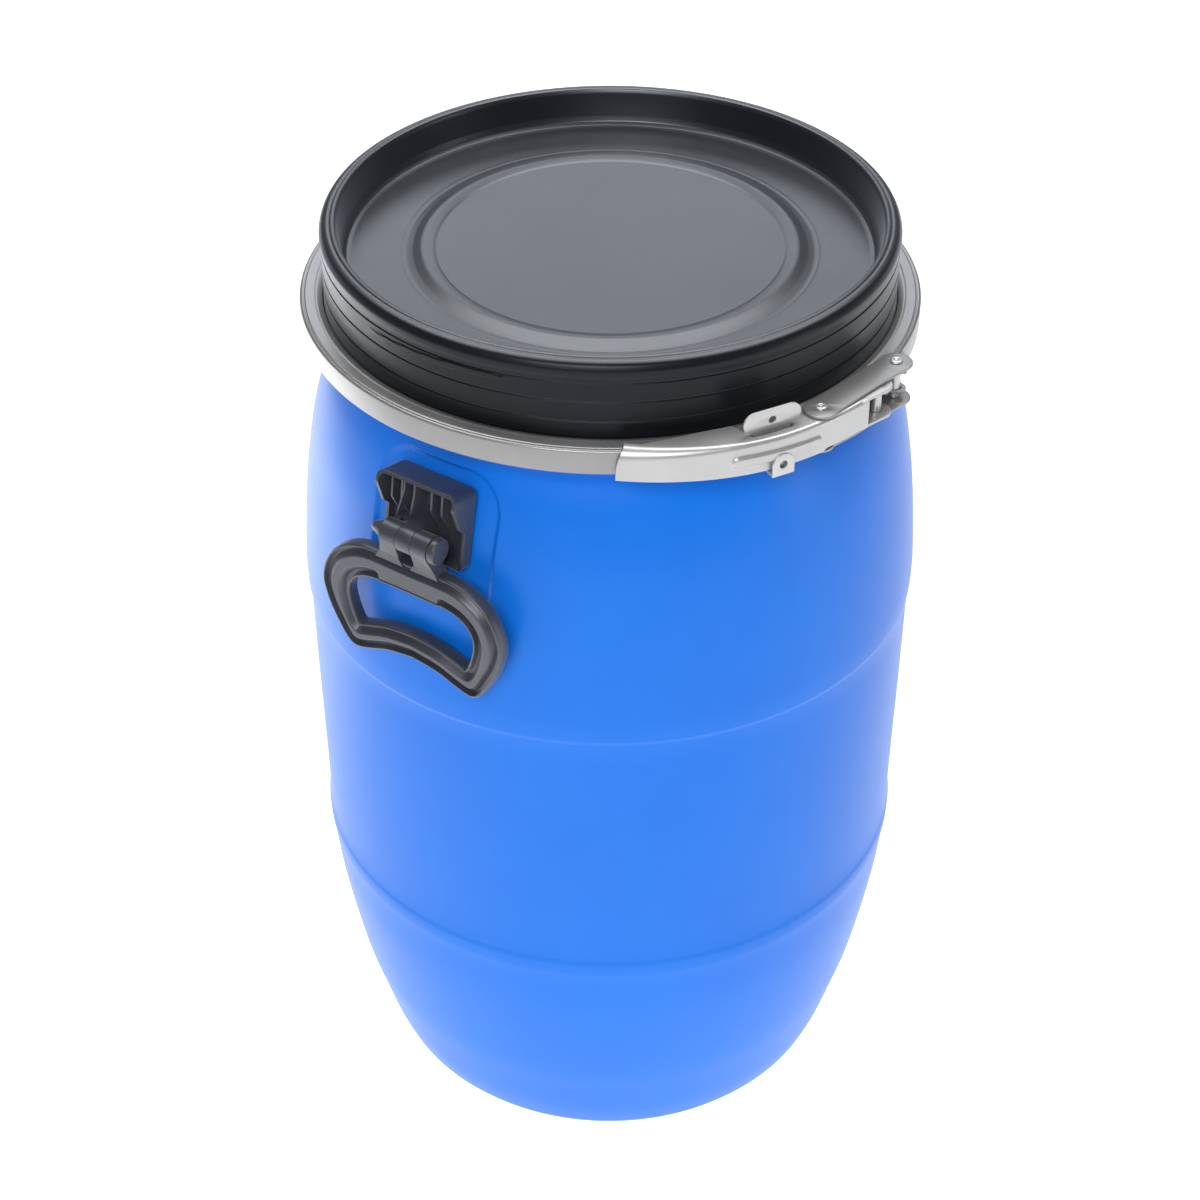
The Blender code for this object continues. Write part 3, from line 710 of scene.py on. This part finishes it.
def make_lever():
    lever = lever_channel()
    _, tab_az = polar_place(TAB)
    half, before, after = 3.9, 5.7, 4.5
    notch = [polar(0.1700, tab_az - before - 2), polar(0.1792, tab_az - before),
             polar(0.1945, tab_az - half), polar(0.1950, tab_az), polar(0.1945, tab_az + half),
             polar(0.1792, tab_az + after), polar(0.1700, tab_az + after + 2)]
    cutter = plate("notch", [[tuple(point[:2]) for point in notch]], LEVER_HIGH.z - 0.006,
                   LEVER_HIGH.z + 0.004, None, 0.0001)
    combine(lever, "DIFFERENCE", cutter)
    combine(lever, "UNION", lever_ear(LEVER_HIGH.z - HEAVY_STEEL, LEVER_HIGH.z - 0.00002))
    combine(lever, "UNION", lever_ear(LEVER_LOW.z + 0.0016, LEVER_LOW.z + 0.0016 + HEAVY_STEEL))
    lever.data.shade_smooth()
    lever.data.set_sharp_from_angle(angle=math.radians(32.0))
    mine(lever, "lever", "band_steel", "lever")


def strap_outline(end=0.0102):
    rivet, pin = RIVET.to_2d(), LINK_PIN.to_2d()
    along = math.degrees(math.atan2(pin.y - rivet.y, pin.x - rivet.x))
    left = (pin - rivet).normalized().orthogonal() * 0.0089
    near = arc(rivet, end, along + 62.0, along + 298.0, 30)
    far = arc(pin, 0.0097, along - 112.0, along + 112.0, 30)
    spots = [rivet.lerp(pin, share) for share in (0.30, 0.50, 0.70)]
    under = smooth([near[-1], *[tuple(spot - left) for spot in spots], far[0]], 6)
    over = smooth([far[-1], *[tuple(spot + left) for spot in spots[::-1]], near[0]], 6)
    return near + under[1:-1] + far + over[1:-1]


def make_links():
    hole = circle(RIVET[:2], 0.0028)
    bottom_low, bottom_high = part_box("link_bottom")
    top = plate("strap_top", [strap_outline(), hole], LINK_LOW.z, LINK_HIGH.z, ZINC, 0.0005)
    mine(top, "link", "band_steel", "link_top")
    bottom = plate("strap_bottom", [strap_outline(0.0086), hole], bottom_low.z, bottom_high.z,
                   ZINC, 0.0005)
    mine(bottom, "link", "band_steel", "link_bottom")


def rivet_head(level, sign, radius=0.0038, rise=0.0011):
    """A low riveted head with a dimple, above or below a level."""
    dome = [(0.0, 0.0004), (0.0010, 0.0005), (0.0017, 0.0010), (0.0024, rise), (0.0031, 0.0009),
            (radius, 0.0003), (radius, 0.0)]
    curve = smooth(dome, 4)
    return [(max(0.0, r), level + sign * max(0.0, h)) for r, h in curve]


def make_pins():
    top, bottom = LINK_HIGH.z + GAP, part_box("link_bottom")[0].z - GAP
    shaft = [(0.0025, top), (0.0025, bottom)]
    rivet = rivet_head(top, 1) + shaft + rivet_head(bottom, -1)[::-1]
    mine(turned_at("lever_rivet_pin", rivet, PLATED, (*RIVET[:2], 0.0)), "link", "bright_steel",
         "lever_rivet")
    head = rivet_head(top, 1) + [(0.0, top)]
    mine(turned_at("link_rivet_head", head, PLATED, (*LINK_PIN[:2], 0.0)), "link", "bright_steel",
         "link_pin_head")
    foot = [(0.0, bottom)] + rivet_head(bottom, -1)[::-1]
    mine(turned_at("link_rivet_foot", foot, PLATED, (*LINK_PIN[:2], 0.0)), "link", "bright_steel",
         "link_pin_foot")
    for name, node, body, spot in (("fulcrum_pivot", "fulcrum_pin", "band_left", FULCRUM),
                                   ("link_pivot", "link_pin", "band_right", LINK_PIN)):
        low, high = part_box(node)
        rod = rounded([(0.0, high.z), (0.0032, high.z, 0.0004), (0.0032, low.z, 0.0004),
                       (0.0, low.z)])
        mine(turned_at(name, rod, PLATED, (*spot[:2], 0.0)), body, "bright_steel", node)


def make_bracket(name, node, body, azimuths, pin, ear_radius):
    """A folded bracket: a curved back on the band, with a round ear above and below."""
    first, last = azimuths
    low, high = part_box(node)
    back_r = BAND_R + 0.0004
    _, azimuth = polar_place(pin)
    outer_r = back_r + HEAVY_STEEL
    back = [tuple(polar(back_r, first + (last - first) * i / 12)[:2]) for i in range(13)]
    front = [tuple(polar(outer_r, first + (last - first) * i / 12)[:2]) for i in range(13)]
    nose = arc(pin[:2], ear_radius, azimuth - 90.0, azimuth + 90.0, 24)
    web = back[::-1] + front
    ears = back[::-1] + [front[0]] + nose + [front[-1]]
    bracket = plate(name, [web], low.z, high.z, ZINC, 0.0003)
    for bottom, top in ((low.z + 0.00002, low.z + 0.0022), (high.z - 0.0022, high.z - 0.00002)):
        ear = plate("ear", [ears, circle(pin[:2], 0.0034)], bottom, top, None, 0.0006)
        combine(bracket, "UNION", ear)
    bracket.data.shade_smooth()
    bracket.data.set_sharp_from_angle(angle=math.radians(35.0))
    mine(bracket, body, "band_steel", node)


def facing_out(place):
    """Turns a plate's own X, Y, Z into tangential, height and depth directions."""
    return place @ Matrix(((1, 0, 0, 0), (0, 0, -1, 0), (0, 1, 0, 0), (0, 0, 0, 1)))


def along_x(place):
    """Turns a plate's own X, Y, Z into depth, height and the tangential direction."""
    return place @ Matrix(((0, 0, 1, 0), (-1, 0, 0, 0), (0, 1, 0, 0), (0, 0, 0, 1)))


def make_tab():
    _, azimuth = polar_place(TAB)
    width, height = 0.0370, 0.0138
    level = 0.5920
    end, round_end = width / 2 - height / 2, height / 2
    neck, depth = 0.0120, 0.1910
    front = [(-neck, 0.5790), (neck, 0.5790), (neck, level - round_end)]
    front += arc((end, level), round_end, -90.0, 90.0, 24)
    front += arc((-end, level), round_end, 90.0, 270.0, 24) + [(-neck, level - round_end)]
    tab = plate("seal_tab_plate", [front, circle((0.0, level - 0.0005), 0.0023)], depth,
                depth + 0.0013, PLATED, 0.0003, facing_out(turn_to(azimuth)))
    mine(tab, "band_left", "bright_steel", "seal_tab")
    foot = plate("seal_tab_foot", [[(-neck, 0.5680), (neck, 0.5680), (neck, 0.5795),
                                    (-neck, 0.5795)]], BAND_R + 0.0006, BAND_R + 0.0019, PLATED,
                 0.0003, facing_out(turn_to(azimuth)))
    mine(foot, "band_left", "bright_steel")


def make_lug():
    _, azimuth = polar_place(LUG)
    width, height = 0.0142, 0.0138
    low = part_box("seal_lug")[0].z + 0.0012
    outer, thick = 0.2034, 0.0014
    half = width / 2
    front = rounded([(-half, low, 0.0006), (half, low, 0.0006), (half, low + height - half)])
    front += arc((0.0, low + height - half), half, 0.0, 180.0, 28)
    lug = plate("seal_lug_plate", [front, circle((0.0, low + height / 2), 0.0025)], outer - thick,
                outer, PLATED, 0.0003, facing_out(turn_to(azimuth)))
    mine(lug, "lever", "bright_steel", "seal_lug")
    back = 0.1950
    shelf = [(back, low), (outer - 0.0004, low), (outer - 0.0004, low + thick),
             (back + thick, low + thick), (back + thick, LEVER_LOW.z - GAP),
             (back, LEVER_LOW.z - GAP)]
    fold = plate("seal_lug_fold", [shelf], -half, half, PLATED, 0.0003, along_x(turn_to(azimuth)))
    mine(fold, "lever", "bright_steel")


# ---- handles --------------------------------------------------------------------------
KNUCKLE_R = 0.0083
BORE_R = 0.0043
KNUCKLE_SPAN = (0.0056, 0.0170)
BRACKET_HALF = 0.0286


def flat_frame(azimuth):
    """The frame of a moulded flat: X tangential, -Y out of the flat, Z up along it."""
    place = Matrix.Translation((0.0, -FLAT_R, FLAT_Z))
    tilt = Matrix.Rotation(math.radians(-FLAT_TILT), 4, "X")
    return turn_to(azimuth) @ place @ tilt


def grip_half():
    """Outer and inner edge of the grip's loop at matched points, from the top to the bottom."""
    pairs = [(0, -15, 0, -36), (20, -15, 16, -36.2), (34, -15.6, 27, -36.8), (46, -19.6, 35, -38.8),
             (57, -28, 41.5, -43.2), (64, -40, 45.2, -49.5), (66.3, -53, 45.8, -56),
             (62.5, -68, 44.2, -64), (55.5, -82, 41.8, -71), (50, -90, 40.6, -73.6),
             (45.5, -93.4, 39.6, -74.4), (40, -93.6, 37.5, -74.2), (31, -91, 31, -71.9),
             (18, -86.6, 18, -68), (0, -84, 0, -66)]
    return smooth([tuple(value * MM for value in pair) for pair in pairs], 8)


def grip_relief(across, back, filled):
    """How far the grip's face lies below its highest level. across and back are distances from
    the outer and the inner edge. A broad round band stands between two grooves, and a low rim
    runs outside each. filled is 1 where the inner groove is filled under the knuckles."""
    rim, groove, depth = 0.0015, 0.0052, 0.0042
    result = np.zeros_like(across)
    for distance, kept in ((across, 1.0), (back, 1.0 - filled)):
        into = smoothstep(distance, rim, rim + 0.0009)
        out = 1.0 - smoothstep(distance, rim + groove * 0.45, rim + groove + 0.0016)
        result = np.maximum(result, kept * depth * np.minimum(into, out))
        result = np.maximum(result, 0.0007 * kept * (1.0 - smoothstep(distance, rim, rim + 0.0009)))
    line = 0.0006 * filled * (np.abs(back - 0.0022) < 0.0005)
    return np.maximum(result, line)


def make_grip_loop(name, matrix):
    half = np.array(grip_half())
    other = half[1:-1][::-1] * np.array([-1, 1, -1, 1])
    whole = np.concatenate([half, other])
    outer, inner = whole[:, :2], whole[:, 2:]
    width = np.linalg.norm(outer - inner, axis=1)
    stations = np.linspace(0.0, 1.0, 73)
    filled = (1.0 - smoothstep(np.abs(inner[:, 0]), 0.0215, 0.0222)) * (inner[:, 1] > -0.050)
    rows = []
    for station in stations:
        spot = outer + (inner - outer) * station
        across = width * station
        end = np.minimum(across, width - across)
        radius = 0.0014
        curl = radius - np.sqrt(np.maximum(0.0, radius ** 2 - np.maximum(0.0, radius - end) ** 2))
        rows.append((spot, 0.0050 - grip_relief(across, width - across, filled) - curl))
    front = [np.stack([spot[:, 0], -thick, spot[:, 1]], -1) for spot, thick in rows]
    rear = [np.stack([spot[:, 0], thick, spot[:, 1]], -1) for spot, thick in rows]
    points = np.stack(front + rear[::-1], 1)
    loop = grid(name, points, CHARCOAL, ring=True, loop=True, sharp=40.0)
    loop.data.transform(matrix)
    return loop


def knuckle_outline():
    """Side view of a grip knuckle (depth, height): a round eye that runs down into the loop."""
    half = 0.0050
    return arc((0.0, 0.0), KNUCKLE_R, -12.0, 192.0, 40) + [(-half, -0.0120), (-half, -0.0190),
                                                        (half, -0.0190), (half, -0.0120)]


def leg_outline(near, far):
    """Front view of a knuckle's leg, which widens into the loop."""
    return [(near, 0.0100), (far, 0.0100), (far, -0.0040), (far + 0.0022, -0.0110),
            (far + 0.0060, -0.0175), (near - 0.0030, -0.0175), (near, -0.0130)]


def make_grip(side, pin):
    _, azimuth = polar_place(pin)
    place = turn_to(azimuth) @ Matrix.Translation((0.0, -math.hypot(pin.x, pin.y), pin.z))
    body = f"grip_{side}"
    loop = make_grip_loop(f"grip_loop_{side}", place)
    mine(loop, body, "handle_plastic", f"grip_{side}")
    near, far = KNUCKLE_SPAN
    for number, sign in enumerate((-1, 1)):
        outline = [(sign * x, z) for x, z in leg_outline(near, far)]
        profile = plate("profile", [knuckle_outline()], -0.030, 0.030, None, 0.0002,
                        along_x(place))
        leg = plate(f"grip_knuckle_{side}_{number}", [outline], -0.012, 0.012, CHARCOAL, 0.0002,
                    facing_out(place))
        combine(leg, "INTERSECT", profile)
        bore = plate("bore", [circle((0.0, 0.0), BORE_R)], -0.03, 0.03, None, 0.0001,
                     along_x(place))
        combine(leg, "DIFFERENCE", bore)
        soften(leg, 0.0006)
        mine(leg, body, "handle_plastic")

    head, tip, shaft = far + GAP, -far - GAP, 0.0040
    profile = rounded([(0.0, head + 0.0048), (KNUCKLE_R - 0.0004, head + 0.0048, 0.0010),
                       (KNUCKLE_R, head + 0.0010, 0.0008), (KNUCKLE_R - 0.0008, head, 0.0002),
                       (shaft, head, 0.0002), (shaft, tip, 0.0002), (shaft + 0.0018, tip, 0.0004),
                       (shaft + 0.0012, tip - 0.0030, 0.0006),
                       (shaft - 0.0012, tip - 0.0095, 0.0014), (0.0, tip - 0.0095)])
    lying = place @ Matrix.Rotation(math.pi / 2, 4, "Y")
    snap = turned(f"grip_hinge_pin_{side}", profile, CHARCOAL, 64)
    snap.data.transform(lying)
    mine(snap, body, "handle_plastic", f"hinge_pin_{side}")


def bracket_wedge(place, top, half, limit):
    """The hollow web that runs from the housing's top to its middle knuckle."""
    funnel = [(-0.0115, top - 0.001), (-0.0115, 0.0150), (-0.0163, -0.0022, 0.0008),
              (-0.0163, -0.0048, 0.0008), (0.0010, -0.0052, 0.0008), (0.0010, -0.0030, 0.0008),
              (-0.0056, -0.0016, 0.0008), (-0.0030, 0.0130), (-0.0030, top - 0.001)]
    wedge_edge = [(0.0012, top - 0.001), (0.0012, -0.0120), (0.0120, -0.0060), (0.0150, -0.0040),
                  (0.0165, 0.0120), (0.0165, top - 0.001)]
    wedge = plate("wedge", [wedge_edge], -0.0180, 0.0030, None, 0.0002, along_x(place))
    combine(wedge, "INTERSECT", plate("funnel", [rounded(funnel, True)], 0.0, 0.03, None, 0.0002,
                                      facing_out(place)))
    trough = [(-0.0104, top + 0.001), (-0.0104, 0.0150), (-0.0149, -0.0014, 0.0008),
              (-0.0146, -0.0030, 0.0008), (-0.0074, -0.0030, 0.0010), (-0.0043, 0.0130),
              (-0.0043, top + 0.001)]
    combine(wedge, "DIFFERENCE", plate("trough", [rounded(trough, True)], 0.0040, 0.03, None,
                                       0.0002, facing_out(place)))
    combine(wedge, "INTERSECT", plate("limit", [[(-half, limit), (-half, -0.02),
                                                 (half, -0.02), (half, limit)]], -0.01,
                                      0.03, None, 0.0001, facing_out(place)))
    return wedge


def make_handle_bracket(side, pin):
    """A ribbed housing, open at the front, with an arm that ends in the middle knuckle."""
    _, azimuth = polar_place(pin)
    place = flat_frame(azimuth)
    skin = 0.0021
    top, bottom, bend, brow = 0.0245, -0.0280, -0.0014, 0.0165
    deep, shallow = 0.0196, 0.0086
    half = BRACKET_HALF
    profile = rounded([(GAP, top), (GAP, bottom), (shallow, bottom, 0.0030),
                       (shallow, bend, 0.0006), (shallow + 0.0053, bend + 0.0036, 0.0010),
                       (deep + 0.0020, brow, 0.0030), (deep, top, 0.0012)], True)
    housing = plate(f"handle_housing_{side}", [profile], -half, half, CHARCOAL, 0.0003,
                    along_x(place))
    corner = 0.0055
    face = rounded([(-half, top, corner), (-half, bottom, corner), (half, bottom, corner),
                    (half, top, corner)], True, 12.0)
    combine(housing, "INTERSECT", plate("face", [face], -0.005, 0.03, None, 0.0001,
                                        facing_out(place)))
    near, curve = half - skin, corner - skin
    inner = rounded([(-near, top - skin, curve), (-near, bottom + skin, curve),
                     (near, bottom + skin, curve), (near, top - skin, curve)], True, 12.0)
    combine(housing, "DIFFERENCE", plate("room", [inner], 0.0025, 0.04, None, 0.0001,
                                         facing_out(place)))
    rib_edge = rounded([(0.0012, top - 0.001), (0.0012, bottom + 0.001),
                        (shallow - 0.0045, bottom + 0.001), (shallow - 0.0045, bend - 0.0050),
                        (0.0142, 0.0068, 0.0015), (0.0150, top - 0.0010)], True)
    for number, spot in enumerate((-0.0212, -0.0140, 0.0075, 0.0150)):
        rib = plate(f"rib_{number}", [rib_edge], spot - 0.0007, spot + 0.0007, None, 0.0001,
                    along_x(place))
        combine(housing, "UNION", rib)
    axis_point = place.inverted() @ pin
    axis = (-axis_point.y, axis_point.z)
    arm_half = KNUCKLE_SPAN[0] - GAP
    combine(housing, "UNION", bracket_wedge(place, top, near, top - skin / 2))
    arm = arc(axis, KNUCKLE_R, -80.0, 100.0, 36) + [(0.0012, 0.0040), (0.0012, -0.0215)]
    combine(housing, "UNION", plate("arm", [arm], -arm_half, arm_half, None, 0.0002,
                                    along_x(place)))
    combine(housing, "DIFFERENCE", plate("bore", [circle(axis, BORE_R)], -0.01, 0.01, None, 0.0001,
                                         along_x(place)))
    soften(housing, 0.0004)
    mine(housing, "drum", "handle_plastic", f"handle_bracket_{side}")


# ---- studio ---------------------------------------------------------------------------
def make_camera():
    data = bpy.data.cameras.new("camera")
    camera = bpy.data.objects.new("camera", data)
    bpy.context.scene.collection.objects.link(camera)
    view_angle = 25.633
    data.sensor_width = 36.0
    data.lens = data.sensor_width / 2 / math.tan(math.radians(view_angle / 2))
    data.clip_end = 50.0
    camera.location = (0.03815, -1.39844, 1.38522)
    aim = Vector((-0.02541, 0.80061, -0.59865))
    camera.rotation_euler = aim.to_track_quat("-Z", "Y").to_euler()
    bpy.context.scene.camera = camera


def area_light(name, spot, target, size, power, tint=(1.0, 1.0, 1.0)):
    data = bpy.data.lights.new(name, "AREA")
    data.shape = "RECTANGLE"
    data.size, data.size_y = size
    data.energy = power
    data.color = tint
    light = bpy.data.objects.new(name, data)
    bpy.context.scene.collection.objects.link(light)
    light.location = spot
    light.rotation_euler = (Vector(target) - Vector(spot)).to_track_quat("-Z", "Y").to_euler()


def make_studio():
    """A pale floor with a painted glow, brightest round the drum and towards the back left; four
    lamps and a dim sky.
    """
    floor_mesh = bpy.data.meshes.new("floor")
    reach, glow_reach = 9.0, 0.52
    floor_mesh.from_pydata([(-reach, -reach, 0.0), (reach, -reach, 0.0), (reach, reach, 0.0),
                            (-reach, reach, 0.0)], [], [(0, 1, 2, 3)])
    floor = bpy.data.objects.new("floor", floor_mesh)
    bpy.context.scene.collection.objects.link(floor)
    paint = Nodes("pale_floor_painted_glow")
    paint.feed(Base_Color=paint.ramp(paint.noise(1.5, 2.0), [(0.3, (0.59, 0.59, 0.59)),
                                                             (0.7, (0.61, 0.61, 0.61))]))
    # Painted light: the floor's emission is strongest round the drum, a painted pool of light that
    # also washes out the drum's shadow on the floor.
    squash = paint.stretched((1 / glow_reach, 1 / glow_reach, 0.0), (0.30, 0.30, 0.0))
    distance = paint.add("ShaderNodeVectorMath", operation="LENGTH")
    paint.link(squash, distance.inputs[0])
    fading = paint.math("POWER", distance.outputs["Value"], 4.0)
    glow = paint.math("POWER", 2.718, paint.math("MULTIPLY", fading, -1.0))
    glow = paint.math("ADD", paint.math("MULTIPLY", glow, 0.4), 0.72)
    offset = paint.add("ShaderNodeVectorMath", operation="DISTANCE")
    paint.link(paint.place, offset.inputs[0])
    offset.inputs[1].default_value = (-1.05, 0.50, 0.0)
    # Painted light: a brighter patch of emission towards the back left of the drum.
    aside = paint.spread(offset.outputs["Value"], 2.2, 0.0, 0.25, 0.75)
    paint.feed(Emission_Strength=paint.math("ADD", glow, aside))
    paint.set(Roughness=0.9, Specular_IOR_Level=0.1, Emission_Color=(1.0, 1.0, 1.0, 1.0))
    floor_mesh.materials.append(paint.material)

    world = bpy.data.worlds.new("studio")
    world.use_nodes = True
    sky = world.node_tree.nodes["Background"]
    sky.inputs["Color"].default_value = (0.93, 0.96, 1.0, 1.0)
    sky.inputs["Strength"].default_value = 0.14
    bpy.context.scene.world = world
    area_light("overhead", (0.0, 0.8, 2.9), (0.0, 0.0, 0.0), (3.0, 2.0), 85.0)
    area_light("back", (-0.2, 3.0, 2.2), (0.0, 0.0, 0.6), (2.2, 1.05), 17.5, (0.87, 0.92, 1.0))
    area_light("key", (-0.4, -2.6, 2.5), (0.0, 0.0, 0.3), (1.8, 1.2), 62.0)
    area_light("side", (2.5, -0.75, 0.65), (0.1, -0.1, 0.5), (0.5, 1.2), 6.0)
    bpy.context.scene.view_settings.view_transform = "Standard"


# ---- assembly -------------------------------------------------------------------------
make_camera()
make_studio()
make_body()
make_lid()
make_band()
make_lever()
make_links()
make_pins()
make_bracket("fulcrum_mount", "fulcrum_bracket", "band_left", (49.6, 56.8), FULCRUM, 0.0071)
make_bracket("pull_mount", "pull_bracket", "band_right", (58.4, 66.0), LINK_PIN, 0.0067)
make_tab()
make_lug()
for grip_side, grip_pin in GRIP_PINS.items():
    make_handle_bracket(grip_side, grip_pin)
    make_grip(grip_side, grip_pin)
